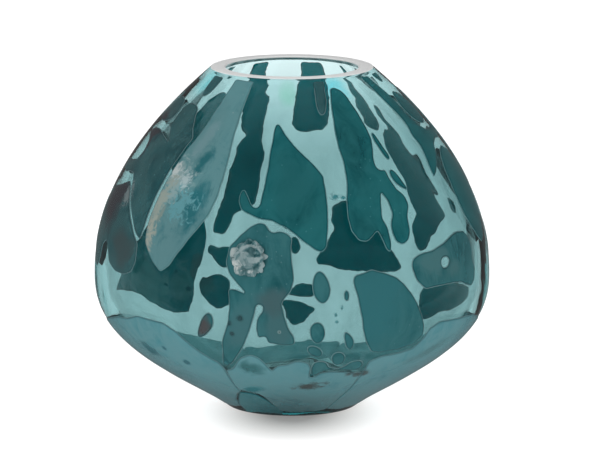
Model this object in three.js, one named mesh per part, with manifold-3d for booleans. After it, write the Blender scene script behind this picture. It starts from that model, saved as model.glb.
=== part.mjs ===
// Hand blown art glass vase: one thick clear body with separate chips of dark teal colour glass on its wall.
// Millimetres, +Z up, origin at the centre of the foot's underside, front towards -Y.
import * as THREE from 'three';
import { mergeVertices } from 'three/addons/utils/BufferGeometryUtils.js';
import Module from 'manifold-3d';

const wasm = await Module();
wasm.setup();

// Driving dimensions of the blown body.
const height = 216;
const footRadius = 41.2;
const bellyRadius = 124.7;
const bellyHeight = 85;
const lipRadius = 50.6;
const wallThickness = 6.5;
const baseThickness = 15;
const floorCornerRise = 5.25;
const floorSweepRise = 0.9;
const footRecessRadius = 30;
const footRecessDepth = 3;
const footRecessCrownRadius = 18;
const footRecessCrownDepth = 2.4;
const footBevel = 1.2;
const lipBevelWidth = 2;
const lipBevelDrop = 1.3;

// Exponents of the two curves that meet at the belly: how round the bowl is, how it flares off
// the foot, and how the shoulder falls away towards the lip.
const bowlRoundness = 2.44;
const bowlFlare = 1.34;
const shoulderFall = 2.05;

// Rings of the inside where the wall turns into the floor, as shares of the corner ring's radius.
const floorSweepShare = 0.8;
const floorFlatShare = 0.5;

// Colour chips: how thick they are, the gap that each keeps to the glass under it, and the shares
// of the height that they lie between.
const chipThickness = 0.8;
const clearance = 0.3;
const chipsFrom = 0.036;
const chipsTo = 0.985;

// The blister, a domed bubble cluster on top of the figure chip.
const blister = { turn: -12.6, level: 53.4, halfWidth: 11.6, halfHeight: 11.8, rise: 4.6 };

// Fineness of the facets.
const turnSegments = 36;
const outerRings = 12;
const innerRings = 8;
const ringEasing = 0.05;
const fewestOutlinePoints = 14;
const ovalPoints = 8;
const blisterTurnSegments = 20;
const blisterRings = 12;

const materials = {
  clear_glass: new THREE.MeshStandardMaterial({ color: 0xa9cfd0, roughness: 0.05, metalness: 0 }),
  teal_chip: new THREE.MeshStandardMaterial({ color: 0x1f5a60, roughness: 0.1, metalness: 0 }),
  cloudy_chip: new THREE.MeshStandardMaterial({ color: 0x5a848c, roughness: 0.15, metalness: 0 }),
  smoky_chip: new THREE.MeshStandardMaterial({ color: 0x57818a, roughness: 0.12, metalness: 0 }),
  blister_glass: new THREE.MeshStandardMaterial({ color: 0x70908f, roughness: 0.08, metalness: 0 }),
};

// Radius of the outer wall at a height.
function wallRadius(z) {
  if (z < bellyHeight) {
    const drop = (bellyHeight - z) / bellyHeight;
    const share = (1 - drop ** bowlRoundness) ** bowlFlare;
    return footRadius + (bellyRadius - footRadius) * share;
  }
  const climb = (z - bellyHeight) / (height - bellyHeight);
  return bellyRadius - (bellyRadius - lipRadius) * climb ** shoulderFall;
}

// How much longer than its thickness a layer of the wall is when it is cut level at this height.
function levelStretch(z) {
  const step = 0.5;
  const low = Math.max(z - step, 0);
  const high = Math.min(z + step, height);
  const slope = (wallRadius(high) - wallRadius(low)) / (high - low);
  return Math.hypot(1, slope);
}

// Outer radius of a layer that lies the given distance off the wall, measured square to the wall.
function layerRadius(z, distance) {
  return wallRadius(z) + distance * levelStretch(z);
}

// Heights of the rings of the outer wall, from just above the foot's bevel to the lip's bevel.
const wallBottom = footBevel;
const wallTop = height - lipBevelDrop;
const ringHeights = [];
for (let i = 0; i <= outerRings; i += 1) {
  const share = i / outerRings;
  const eased = share - ringEasing * Math.sin(2 * Math.PI * share);
  ringHeights.push(wallBottom + (wallTop - wallBottom) * eased);
}

// Profiles run up the outside and down the inside, so that the faces point out.
function lathe(points) {
  return new THREE.LatheGeometry(
    points.map(([radius, z]) => new THREE.Vector2(radius, z)),
    turnSegments,
  ).rotateX(Math.PI / 2);
}

function solidOf(geometry) {
  const bare = geometry.index ? geometry.toNonIndexed() : geometry.clone();
  bare.deleteAttribute('normal');
  bare.deleteAttribute('uv');
  const merged = mergeVertices(bare, 1e-4);
  return new wasm.Manifold(new wasm.Mesh({
    numProp: 3,
    vertProperties: merged.attributes.position.array,
    triVerts: new Uint32Array(merged.index.array),
  }));
}

function geometryOf(solid) {
  const { vertProperties, triVerts } = solid.getMesh();
  const geometry = new THREE.BufferGeometry();
  geometry.setAttribute('position', new THREE.BufferAttribute(new Float32Array(vertProperties), 3));
  geometry.setIndex(new THREE.BufferAttribute(new Uint32Array(triVerts), 1));
  return geometry;
}

// The body: recessed foot, bowl, shoulder and ground lip in one gather of glass.
function bodyGeometry() {
  const profile = [
    [0, footRecessDepth],
    [footRecessCrownRadius, footRecessCrownDepth],
    [footRecessRadius, 0],
    [wallRadius(0) - footBevel, 0],
  ];
  ringHeights.forEach((z) => profile.push([wallRadius(z), z]));
  profile.push([wallRadius(wallTop) - lipBevelWidth, height]);
  const floorCorner = baseThickness + floorCornerRise;
  for (let i = 0; i <= innerRings; i += 1) {
    const z = height + (floorCorner - height) * (i / innerRings);
    profile.push([layerRadius(z, -wallThickness), z]);
  }
  const cornerRadius = layerRadius(floorCorner, -wallThickness);
  profile.push([cornerRadius * floorSweepShare, baseThickness + floorSweepRise]);
  profile.push([cornerRadius * floorFlatShare, baseThickness]);
  profile.push([0, baseThickness]);
  return lathe(profile);
}

// A lathed layer between two distances off the wall, from which the chips are cut.
function layerSolid(from, to) {
  const low = height * chipsFrom;
  const high = height * chipsTo;
  const levels = [low, ...ringHeights.filter((z) => z > low + 1 && z < high - 1), high];
  const profile = levels.map((z) => [layerOffWall(z, to), z]);
  levels.reverse().forEach((z) => profile.push([layerOffWall(z, from), z]));
  profile.push(profile[0]);
  return solidOf(lathe(profile));
}

// The wall between two rings is flat, so a layer's edge between rings is taken off that flat.
function layerOffWall(z, distance) {
  const above = ringHeights.findIndex((ring) => ring >= z);
  const top = ringHeights[Math.max(above, 1)];
  const bottom = ringHeights[Math.max(above, 1) - 1];
  const share = (z - bottom) / (top - bottom);
  return (1 - share) * layerRadius(bottom, distance) + share * layerRadius(top, distance);
}

// A smooth closed outline through [turn in degrees, per cent of the height] points.
function outlineThrough(points) {
  const curve = new THREE.CatmullRomCurve3(
    points.map(([turn, level]) => new THREE.Vector3(turn, level, 0)),
    true,
    'centripetal',
  );
  const steps = points.length < fewestOutlinePoints ? points.length * 2 : points.length;
  return curve.getPoints(steps).slice(0, -1).map((point) => new THREE.Vector2(point.x, point.y));
}

// A closed oval outline, leaning by a number of degrees of turn between its foot and its top.
function oval(turn, level, halfTurn, halfLevel, lean = 0) {
  const points = [];
  for (let i = 0; i < ovalPoints; i += 1) {
    const angle = (i / ovalPoints) * 2 * Math.PI;
    const up = Math.sin(angle);
    points.push([turn + halfTurn * Math.cos(angle) + lean * up, level + halfLevel * up]);
  }
  return points;
}

// The wedge of space that an outline sweeps from a point on the axis out through the wall. Every
// side of it is flat, and near enough square to the wall.
const wedgeNear = 0.3;
const wedgeFar = 3;
const wedgeCentre = new THREE.Vector3(0, 0, bellyHeight);
function wedgeSolid(points) {
  const outline = outlineThrough(points);
  if (THREE.ShapeUtils.isClockWise(outline)) outline.reverse();
  const count = outline.length;
  const onWall = outline.map(({ x, y }) => {
    const turn = THREE.MathUtils.degToRad(x);
    const z = (y / 100) * height;
    const radius = wallRadius(z);
    return new THREE.Vector3(radius * Math.sin(turn), -radius * Math.cos(turn), z);
  });
  const positions = [];
  [wedgeNear, wedgeFar].forEach((reach) => {
    onWall.forEach((point) => {
      positions.push(...point.clone().sub(wedgeCentre).multiplyScalar(reach).add(wedgeCentre).toArray());
    });
  });
  const faces = [];
  THREE.ShapeUtils.triangulateShape(outline, []).forEach(([a, b, c]) => {
    faces.push(c, b, a);
    faces.push(count + a, count + b, count + c);
  });
  for (let i = 0; i < count; i += 1) {
    const next = (i + 1) % count;
    faces.push(i, next, count + next);
    faces.push(i, count + next, count + i);
  }
  return new wasm.Manifold(new wasm.Mesh({
    numProp: 3,
    vertProperties: new Float32Array(positions),
    triVerts: new Uint32Array(faces),
  }));
}

const chipLayer = layerSolid(clearance, clearance + chipThickness);

function chipGeometry({ outline, hole }) {
  let solid = chipLayer.intersect(wedgeSolid(outline));
  if (hole) solid = solid.subtract(wedgeSolid(hole));
  return geometryOf(solid);
}

// The blister is a flattened ball with everything up to the chip under it cut away.
function blisterGeometry() {
  const z = (blister.level / 100) * height;
  const turn = THREE.MathUtils.degToRad(blister.turn);
  const seat = clearance + chipThickness + clearance;
  const ball = new THREE.SphereGeometry(1, blisterTurnSegments, blisterRings);
  ball.scale(blister.halfWidth, blister.rise, blister.halfHeight);
  ball.rotateZ(turn);
  const radius = layerRadius(z, seat);
  ball.translate(radius * Math.sin(turn), -radius * Math.cos(turn), z);
  const core = layerSolid(-wallThickness, seat);
  return geometryOf(solidOf(ball).subtract(core));
}

// Chips on the front half, from the left silhouette round to the right. Turns are degrees from
// the front, rising to the right, and levels are per cent of the height.
const frontChips = {
  brow_left: {
    outline: [[-86.5, 86.3], [-87.5, 89.5], [-83, 91.8], [-76, 91.9], [-70.8, 91.3], [-68.9, 89.6],
      [-67.9, 87.6], [-70.5, 86.2], [-76.5, 85.4], [-82, 85.3]],
  },
  drip_left: {
    outline: [[-66.5, 101], [-63.2, 97], [-60.6, 94.6], [-57.2, 93.6], [-54.2, 94.5], [-52.8, 97],
      [-54.2, 101]],
  },
  lobe_left: {
    outline: [[-45.2, 83.3], [-48.2, 85.6], [-51.6, 88.6], [-54.3, 90.8], [-59, 91.6], [-64.5, 91.5],
      [-67, 90], [-66.2, 87.4], [-66, 85.2], [-62, 83.2], [-58.3, 81.3], [-62, 81.9], [-67, 82.9],
      [-73, 83.5], [-80, 83.2], [-84.5, 81.8], [-80, 80.9], [-75.6, 79.8], [-73.4, 77.2], [-75.2, 74.9],
      [-80, 74], [-86.5, 73.6], [-87, 71.3], [-80, 70.4], [-74.5, 71.3], [-70.6, 71.3], [-67.3, 68.7],
      [-62.9, 64.4], [-58.8, 60.6], [-54.8, 56.7], [-51.6, 54.9], [-50.9, 58.5], [-50.6, 64], [-49.6, 70],
      [-48.4, 75.5], [-46.7, 80]],
  },
  lobe_low_left: {
    outline: [[-87.5, 62.5], [-84.5, 65.6], [-78, 66.9], [-73.2, 68.3], [-69.8, 69.1], [-67, 67.8],
      [-63.1, 63.8], [-59, 60], [-54.9, 56.1], [-52.2, 53.6], [-51.8, 48.5], [-53.2, 45.6], [-57, 44.2],
      [-62.5, 44.2], [-66.8, 46], [-69.6, 49.8], [-72.5, 51.9], [-74.8, 50], [-75.8, 46], [-78.2, 43],
      [-83, 43.6], [-86.2, 49], [-88.2, 56]],
  },
  cloud_leaf: {
    look: 'cloudy_chip',
    outline: [[-40.8, 101], [-41.2, 92], [-42.2, 86.5], [-43.8, 83], [-45.4, 80], [-47.2, 75.5],
      [-48.4, 70], [-49.4, 64], [-49.8, 58.5], [-49, 54.6], [-46.6, 51.8], [-43.8, 48.9], [-41, 47.3],
      [-38, 49.3], [-35.5, 53], [-32.5, 57], [-29.3, 61], [-26.6, 64.8], [-25, 69.5], [-24.5, 75],
      [-24.7, 81], [-25.3, 87], [-26, 93], [-26.5, 101]],
  },
  leaf_low_left: {
    outline: [[-28.6, 29.4], [-28, 32], [-26.6, 35], [-24.8, 37.3], [-23.3, 36.8], [-22.8, 34],
      [-24.2, 31.6], [-26.4, 29.9]],
  },
  kite: {
    outline: [[-8.2, 86], [-7.5, 88.3], [-6.2, 88.8], [-4.5, 87.7], [-2, 85.4], [1.5, 82.8], [5.5, 80.2],
      [9, 77.7], [11.2, 75.3], [11.7, 71.5], [11.5, 66], [11, 60.5], [10.3, 56.3], [8.8, 55], [6.5, 55.8],
      [3.5, 57.9], [0.9, 59.9], [-1.8, 61.7], [-4, 62.5], [-6.3, 63.6], [-8.2, 63.8], [-10.5, 64],
      [-13.2, 65], [-16.2, 66.2], [-17.6, 68.4], [-17.6, 70.7], [-16.3, 71.8], [-14.7, 70], [-13.1, 67.6],
      [-11.6, 66.9], [-10.5, 67.8], [-9.9, 70.5], [-9.3, 75], [-8.7, 80]],
  },
  figure: {
    outline: [[0.1, 58.9], [-0.1, 54.5], [0.4, 50.5], [0.6, 47.5], [-0.2, 44.3], [-1.8, 42.3],
      [-2.7, 40.8], [-2.2, 37.5], [-1, 34], [0.8, 30.5], [0.8, 28.5], [-3, 28.2], [-7, 28.8], [-7.7, 30.9],
      [-9.8, 30.3], [-10.3, 33], [-9.9, 36.2], [-8.3, 38.4], [-8.3, 40.1], [-9.9, 40.2], [-11, 36],
      [-12.4, 31.8], [-14.3, 27.8], [-16.8, 24.6], [-19.6, 21.6], [-22, 20.2], [-23.2, 21], [-22, 24.3],
      [-21.3, 28], [-19.8, 31.5], [-18.5, 35], [-18.1, 39], [-18.3, 44.4], [-16, 44.5], [-13.2, 43.4],
      [-16, 46.2], [-18.3, 48.6], [-19.4, 52], [-18.8, 56.2], [-15.8, 59.4], [-12.9, 61.9], [-10, 63.1],
      [-8.1, 62.8], [-7.2, 61.4], [-5.8, 60.4], [-3.8, 61], [-1.6, 60.4]],
  },
  lance: {
    outline: [[19.2, 87], [20.4, 91.5], [22, 94.8], [23.8, 96.6], [27, 96.9], [31, 96.1], [33, 94.6],
      [34.3, 91], [35.1, 87], [35.1, 84], [33.8, 81], [32.6, 79], [32.3, 77], [33.4, 75.8], [35.6, 75.9],
      [36.1, 73.4], [37.6, 70.6], [40, 68.6], [40.6, 66], [39.6, 64.4], [38.6, 62.5], [38.4, 59],
      [37.2, 56.5], [34.8, 55.5], [32.5, 56.6], [31.5, 59.2], [31.8, 61.4], [33.2, 64.3], [32.6, 67.6],
      [31, 70.2], [30, 66.8], [29.3, 63.3], [30.6, 60.2], [30.8, 56.6], [30.2, 53.8], [29.1, 54.6],
      [28, 57.5], [26.8, 60.1], [25.2, 58.8], [22.8, 57.2], [20.2, 57.7], [18.4, 60.2], [17.6, 64],
      [18, 69], [19.2, 73], [19.6, 78.5], [18.8, 82.5]],
  },
  seed_right: {
    outline: [[36.2, 85.2], [36.1, 82.4], [37.4, 79.5], [38.8, 78], [39.9, 78.6], [39.4, 81], [38.2, 83.7],
      [37.1, 85.5]],
  },
  bean_right: {
    outline: [[36.8, 74.9], [37.2, 73], [38.9, 71.2], [41.2, 69.9], [42.2, 69.6], [41.3, 72.3],
      [39.7, 74.8], [37.9, 75.8]],
  },
  oval_upper: { outline: oval(8.3, 45.2, 2.6, 4.8, -0.5) },
  oval_lower: { outline: oval(7.3, 32, 2.3, 3.4, -0.2) },
  oval_pale: { look: 'smoky_chip', outline: oval(6.9, 26.2, 2.3, 2, -1.1) },
  oval_low_right: { outline: oval(14.7, 23.4, 2.4, 2.3, -0.4) },
  dot: { outline: oval(15.6, 42.6, 0.9, 1.8) },
  leaf_tiny: {
    outline: [[15.3, 32.2], [15.5, 29.2], [16.5, 27], [17.8, 26.1], [18.7, 27.5], [18.4, 29.6], [16.9, 31.2]],
  },
  band_low: {
    outline: [[6.5, 17.9], [8.2, 17.6], [10.5, 19.2], [14, 19.5], [19, 19], [22.4, 18.5], [24, 19.4],
      [24.2, 21], [22.5, 22.4], [19.5, 22.2], [17.2, 20.4], [14.8, 19.9], [12.4, 20.6], [11.2, 22.3],
      [9, 22.9], [7, 22.4], [6.3, 20.4]],
  },
  lobe_low_right: {
    look: 'smoky_chip',
    outline: [[17.5, 46.9], [18.3, 48.4], [20.5, 48.8], [23.5, 49.6], [27, 48.6], [31, 47], [33.5, 45],
      [36, 42], [38.2, 38.8], [40.2, 35], [41.8, 31.6], [42.5, 28.5], [40, 25.8], [34, 24.7], [28, 24.5],
      [24.9, 25], [23, 27.4], [21.6, 29.6], [20.6, 32.5], [20.1, 36], [19.4, 39], [18.6, 42.6],
      [17.8, 44.8]],
  },
  cloud_right: {
    outline: [[36.8, 49], [37.4, 51.2], [40, 52.3], [45, 52.8], [50, 53.9], [55, 55.6], [59, 56.4],
      [63, 56], [65.5, 53.5], [66.2, 50], [65.3, 47.6], [66.6, 44.5], [65.9, 41.3], [63.5, 39.9],
      [60.5, 40.4], [57, 42], [52, 42.3], [46, 42.3], [41.5, 42.2], [38.2, 45]],
    hole: [[48.7, 48.5], [49.2, 50], [51, 50.1], [52.2, 49.1], [50.8, 47.4], [49.3, 47.4]],
  },
  round_right: {
    outline: [[66, 67], [66.2, 63], [67.3, 59.5], [69.6, 56], [72.6, 53], [76, 50.7], [79.3, 51.2],
      [82, 55], [85, 60], [87, 66], [87, 72], [84, 76.4], [79, 78.2], [74, 77.6], [70, 75.6], [67.2, 72]],
  },
  rim_tongue_front: {
    outline: [[17.6, 101], [14.8, 98.8], [13.4, 95.8], [12.8, 93.4], [13.4, 91.5], [14.9, 90.6],
      [16.8, 91.3], [18.8, 93.3], [20.2, 95.6], [21.4, 97.8], [23.6, 99.4], [24.6, 101]],
  },
  shoulder_right: {
    outline: [[54, 101], [54.8, 96.5], [57, 92.5], [59.5, 89], [60.3, 86], [59, 83], [60, 80],
      [59.2, 77.3], [58, 74.3], [57.7, 71.6], [60.6, 72.7], [64, 74.4], [68, 76.8], [72, 79.2],
      [78, 80.3], [84, 79.7], [88.5, 81], [87.5, 83.4], [81, 83], [75, 83.3], [70, 85], [67.3, 88.6],
      [67.6, 92], [65.5, 94.8], [62.4, 97.3], [61, 101]],
  },
  lobe_right: {
    outline: [[68.6, 89.2], [70.6, 86.6], [75, 84.9], [80.5, 84.7], [84.8, 86.2], [85.8, 89], [83.5, 91.8],
      [78.5, 93.5], [73, 93.7], [69.8, 92]],
  },
  rim_oval_right: {
    outline: [[68, 101], [69.2, 97.8], [72, 96.3], [76, 96.3], [79, 98], [80, 101]],
  },
};

// Chips round the sides and the back, from the right silhouette round to the left.
const backChips = {
  side_leaf_right: {
    outline: [[94, 88], [98, 92], [104, 93], [110, 89], [114, 82], [116, 74], [114.5, 67], [109, 63],
      [103, 61], [98, 63], [95, 69], [92.5, 78]],
  },
  side_drop_right: {
    outline: [[92, 50], [96, 55], [102, 53], [108, 47], [111, 41], [108, 37], [102, 36.5], [96, 40],
      [92.5, 45]],
  },
  rim_tongue_right: {
    outline: [[112, 101], [114, 95], [118, 92.5], [123, 91.5], [127, 94], [129, 101]],
  },
  back_chip: {
    outline: [[116.2, 58.4], [115.8, 54.4], [110.8, 54], [110.6, 58.2]],
  },
  back_band: {
    outline: [[130.4, 27.4], [129.8, 23.6], [126, 20.8], [121, 18.7], [117, 17.9], [112, 19.4],
      [107, 22.4], [103, 25.5], [101, 29], [104, 31.5], [111, 31.3], [118, 32], [124, 30.6]],
  },
  back_sweep: {
    outline: [[141.4, 75.2], [139, 77.2], [136.3, 77.6], [135.2, 79.5], [136.3, 83.5], [135, 86.8],
      [132.8, 85.3], [132.2, 81.5], [130.2, 77.5], [129.8, 73.5], [127.5, 70], [125.3, 65.5],
      [124.2, 60.5], [122.8, 56], [120.2, 52.3], [123.5, 50], [128.5, 46], [132, 42.5], [134.3, 38.6],
      [136, 37.8], [138.8, 40.2], [139.6, 43.5], [138.4, 46.6], [134.4, 50.4], [137.5, 54], [138.6, 57],
      [139, 62], [141, 67], [142.6, 71]],
  },
  back_streak: {
    outline: [[143.8, 101], [144.4, 95], [146.4, 90], [146, 87.5], [147.8, 84], [147.2, 81.5],
      [147.8, 79], [146.4, 76.9], [143.5, 76.4], [141.2, 78.3], [139.6, 82], [140.2, 86.5], [141.4, 91],
      [141.8, 95], [141, 101]],
  },
  back_slab: {
    outline: [[167, 49], [163, 50.8], [159, 49], [155, 46.5], [151.5, 42.5], [148.5, 37.5], [145.5, 34.3],
      [143.8, 31.8], [146, 30.2], [151, 30.3], [155, 30.2], [158.5, 29], [163, 29.2], [168, 30.6],
      [171.5, 31.2], [172, 33.5], [169.5, 36], [168.6, 38.6], [166.5, 41.8], [167.4, 45]],
  },
  back_spear: {
    outline: [[160.5, 84], [158, 86.5], [154.5, 84], [152.5, 77], [152.5, 68], [154, 58], [156.5, 52.8],
      [159, 56], [161, 64], [162, 75]],
  },
  back_tongue: {
    outline: [[172, 101], [174.5, 95], [176.8, 91], [177.5, 86], [179.3, 81.5], [179.6, 77.5],
      [178, 74.8], [173, 74], [168.5, 74.5], [165.8, 77], [164.5, 80], [162.5, 84.5], [161, 89],
      [159.7, 93], [157.8, 101]],
  },
  back_kite: {
    outline: [[186, 66], [184.6, 60], [186.3, 52], [185, 45], [180, 42], [174.5, 43.5], [172, 48],
      [171.6, 54], [173.6, 60], [178, 63.5], [182.5, 67]],
  },
  back_nub: {
    outline: [[179.8, 40], [177.5, 38.6], [177, 36], [178.8, 34.4], [180.6, 36]],
  },
  back_fin_upper: {
    outline: [[179.5, 24.5], [175, 24.8], [171, 24], [171, 21.4], [174, 20.6], [179, 21.1], [182, 21.9]],
  },
  back_fin_lower: {
    outline: [[183, 19.6], [179.6, 19.7], [175, 19], [170.5, 17.8], [173, 15.8], [176, 13.9],
      [179.5, 12.6], [181.5, 14.5], [183.2, 17.2]],
  },
  back_column: {
    outline: [[209.5, 101], [207, 93], [204.5, 86], [201.4, 79], [199.4, 74], [199.2, 68], [199.9, 62.2],
      [201.5, 54.5], [203.3, 47.5], [204, 43.6], [203.6, 40.9], [201.5, 40.9], [199.6, 43], [198.5, 46.5],
      [195.5, 47.5], [192, 49.5], [190.8, 54], [190.6, 60], [189.8, 66], [190.4, 71], [191.2, 76],
      [191.5, 84], [193, 90], [196, 95], [199.5, 101]],
  },
  back_stub: {
    outline: [[206, 36], [203, 37.4], [199.5, 36.8], [198, 33.4], [201, 31], [205, 31.6]],
  },
  back_plug: {
    outline: [[212, 22.5], [210.6, 26.3], [207.5, 28.9], [203, 28.2], [201.5, 25], [202.5, 21],
      [205, 19.7], [209, 19.9]],
  },
  back_sheet_left: {
    outline: [[258, 31], [249, 29.5], [241, 26], [236.5, 21.5], [230, 19.3], [222, 18.6], [217, 21.5],
      [213.5, 27], [210, 31.8], [208, 36], [207.4, 41], [209, 47], [212.5, 52], [217, 55], [223, 54],
      [229, 50], [235, 44], [241, 38], [249, 35]],
  },
  back_leaf_left: {
    outline: [[213, 84], [217, 89], [223, 90], [229, 86], [231, 78], [229, 69], [225, 62], [219, 60],
      [214, 64], [210.5, 71], [210.5, 78]],
  },
  rim_tab_left: {
    outline: [[234.5, 101], [232, 97.3], [228.5, 95.6], [225.6, 97], [226.5, 101]],
  },
  side_leaf_left: {
    outline: [[236, 88], [241, 93], [247, 94], [252, 89], [255, 80], [255, 70], [251, 62], [245, 58.5],
      [239, 60], [235, 67], [233.5, 76]],
  },
  side_drop_left: {
    outline: [[258, 58], [262, 62], [266, 60], [268.5, 53], [267, 46], [263, 42], [259, 45], [257, 51]],
  },
};

// The smoky skirt: broad chips that wrap the bottom of the bowl all the way round.
const skirtChips = {
  skirt_left: {
    outline: [[-87.6, 20], [-86.6, 25], [-80, 26.6], [-71, 28.6], [-63, 30.2], [-57, 30.8],
      [-51, 32.4], [-45, 32.3], [-40, 31.8], [-37, 30.3], [-34, 27.6], [-31, 24.8], [-28, 22.7],
      [-25.4, 21.2], [-24.4, 19.4],
      [-25, 15], [-26, 10.2], [-30, 8.6], [-36, 6.2], [-42, 4.6], [-55, 4.2], [-72, 4.2], [-86.4, 4.8],
      [-87.6, 9]],
  },
  skirt_mid: {
    outline: [[-22.8, 18.2], [-20.3, 19], [-18.3, 20.8], [-16, 23], [-13, 24.4], [-10.8, 23.6],
      [-9.2, 21.6], [-8, 19.6], [-6.9, 18.8], [-5.6, 19.6], [-4, 20.9], [-2, 21], [-0.6, 21.6],
      [1.5, 22.4], [4.4, 22], [5.4, 20.4], [5.4, 18.2], [5.6, 16.6], [8.2, 16.4], [10.6, 18.1],
      [14, 18.4], [19, 17.8], [22.5, 17.2], [24.8, 17.6], [25.6, 14], [26, 10], [26.4, 4.4], [12, 4.2],
      [0, 4.2], [-9, 4.4], [-12, 5.8], [-13.4, 8], [-16, 9.8], [-20, 10.6], [-24.4, 11]],
  },
  skirt_right: {
    outline: [[26.6, 21.4], [30, 22.6], [36, 23], [41, 24], [43.8, 26.8], [44.8, 29.6], [48, 31.2],
      [53, 31], [60, 30.6], [68, 30.2], [75, 28.3], [82, 26.8], [86.8, 25.6], [87.6, 20], [87.6, 9],
      [86.4, 4.8], [70, 4.2], [50, 4.2], [28.4, 4.4], [27.8, 10], [27, 16]],
  },
  skirt_back_right: {
    outline: [[92.4, 16], [93.4, 19.4], [97, 16.4], [101, 14], [108, 11.5], [117, 10.4], [126, 10.8],
      [134, 9.6], [141, 8.4], [147.6, 7.6], [148, 4.5], [120, 4.2], [93.6, 4.8], [92.4, 9]],
  },
  skirt_back_mid: {
    outline: [[150.5, 7.4], [158, 8], [166, 8.5], [175, 8], [184, 7.4], [192, 6.6], [200, 6.8],
      [207.4, 7.4], [208, 4.5], [180, 4.2], [150.5, 4.5]],
  },
  skirt_back_left: {
    outline: [[210.6, 7.6], [218, 8.4], [228, 10.2], [238, 12.6], [246, 14.8], [254, 17.6], [262, 20],
      [266.6, 19.6], [267.6, 16], [267.6, 9], [266.4, 4.8], [240, 4.2], [210.6, 4.5]],
  },
};

// The whole vase.
const vase = new THREE.Group();

function add(name, geometry, material) {
  const mesh = new THREE.Mesh(geometry, materials[material].clone());
  mesh.name = name;
  vase.add(mesh);
}

add('body', bodyGeometry(), 'clear_glass');
Object.entries({ ...frontChips, ...backChips }).forEach(([name, chip]) => {
  add(name, chipGeometry(chip), chip.look ?? 'teal_chip');
});
Object.entries(skirtChips).forEach(([name, chip]) => add(name, chipGeometry(chip), 'smoky_chip'));
add('blister', blisterGeometry(), 'blister_glass');

export default vase;
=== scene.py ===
import bpy, bmesh, math
import numpy as np
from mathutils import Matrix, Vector, noise
from mathutils.geometry import delaunay_2d_cdt


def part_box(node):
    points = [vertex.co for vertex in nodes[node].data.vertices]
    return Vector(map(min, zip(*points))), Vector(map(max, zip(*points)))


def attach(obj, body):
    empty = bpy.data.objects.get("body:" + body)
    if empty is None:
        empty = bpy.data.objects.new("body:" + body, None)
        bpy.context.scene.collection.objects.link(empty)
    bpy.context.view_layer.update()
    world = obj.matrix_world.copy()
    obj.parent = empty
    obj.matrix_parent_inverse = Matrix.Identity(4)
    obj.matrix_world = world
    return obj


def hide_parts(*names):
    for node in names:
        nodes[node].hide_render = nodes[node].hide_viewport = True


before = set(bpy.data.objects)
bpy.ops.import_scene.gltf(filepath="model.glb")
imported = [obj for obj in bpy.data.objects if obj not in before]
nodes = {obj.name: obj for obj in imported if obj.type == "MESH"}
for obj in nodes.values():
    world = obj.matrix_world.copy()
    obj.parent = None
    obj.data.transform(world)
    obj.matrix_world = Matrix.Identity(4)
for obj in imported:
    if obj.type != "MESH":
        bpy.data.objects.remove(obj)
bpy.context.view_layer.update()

# small helpers


def onlySelect(piece):
    if bpy.context.object and bpy.context.object.mode != "OBJECT":
        bpy.ops.object.mode_set(mode="OBJECT")
    bpy.ops.object.select_all(action="DESELECT")
    if piece:
        piece.select_set(True)
        bpy.context.view_layer.objects.active = piece


def pieceFromMesh(name, points, faces, edges=()):
    mesh = bpy.data.meshes.new(name)
    mesh.from_pydata([tuple(p) for p in points], list(edges), [tuple(f) for f in faces])
    mesh.validate()
    mesh.update()
    piece = bpy.data.objects.new(name, mesh)
    bpy.context.scene.collection.objects.link(piece)
    return piece


# the blown form

blownForm = {
    "height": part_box("body")[1][2],
    "belly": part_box("body")[1][0],
    "foot": 0.0412,
    "bellyHeight": 0.085,
    "lip": 0.0506,
    "bowlRoundness": 2.44,
    "bowlFlare": 1.34,
    "shoulderFall": 2.05,
    "wall": 0.0065,
    "base": 0.015,
}


def wallRadius(z):
    f = blownForm
    z = np.clip(np.asarray(z, dtype=float), 0, f["height"])
    drop = np.clip((f["bellyHeight"] - z) / f["bellyHeight"], 0, 1)
    low = f["foot"] + (f["belly"] - f["foot"]) * (1 - drop ** f["bowlRoundness"]) ** f["bowlFlare"]
    climb = np.clip((z - f["bellyHeight"]) / (f["height"] - f["bellyHeight"]), 0, 1)
    high = f["belly"] - (f["belly"] - f["lip"]) * climb ** f["shoulderFall"]
    return np.where(z < f["bellyHeight"], low, high)


def wallSlope(z):
    step = 0.0004
    return (wallRadius(z + step) - wallRadius(z - step)) / (2 * step)


# the wall unrolled so that shapes keep their angles: turn across, and up it the
# length along the wall over its radius
tableZ = np.linspace(0, blownForm["height"], 2161)
tableUp = np.concatenate([[0], np.cumsum(
    np.hypot(1, np.diff(wallRadius(tableZ)) / np.diff(tableZ)) * np.diff(tableZ)
    / wallRadius((tableZ[1:] + tableZ[:-1]) / 2))])


def unroll(points):
    turn = np.arctan2(points[:, 0], -points[:, 1])
    return np.column_stack([turn, np.interp(points[:, 2], tableZ, tableUp)])


def ontoWall(flat, lift):
    z = np.interp(flat[:, 1], tableUp, tableZ)
    radius, slope = wallRadius(z), wallSlope(z)
    stretch = np.hypot(1, slope)
    radius = radius + lift / stretch
    z = z - lift * slope / stretch
    return np.column_stack([radius * np.sin(flat[:, 0]), -radius * np.cos(flat[:, 0]), z])


def radiusAt(flat):
    return wallRadius(np.interp(flat[:, 1], tableUp, tableZ))


# colours and materials


glassBend = 1.5  # how strongly the glass bends light


def newMaterial(name):
    material = bpy.data.materials.new(name)
    material.use_nodes = True
    tree = material.node_tree
    tree.nodes.clear()
    output = tree.nodes.new("ShaderNodeOutputMaterial")
    shader = tree.nodes.new("ShaderNodeBsdfPrincipled")
    tree.links.new(shader.outputs[0], output.inputs["Surface"])
    return material, tree, shader, output


def setValues(node, **values):
    # a name that isn't one of the node's own is an input's, with _ for a space
    for key, value in values.items():
        if hasattr(node, key):
            setattr(node, key, value)
        else:
            node.inputs[key.replace("_", " ")].default_value = value
    return node


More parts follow.
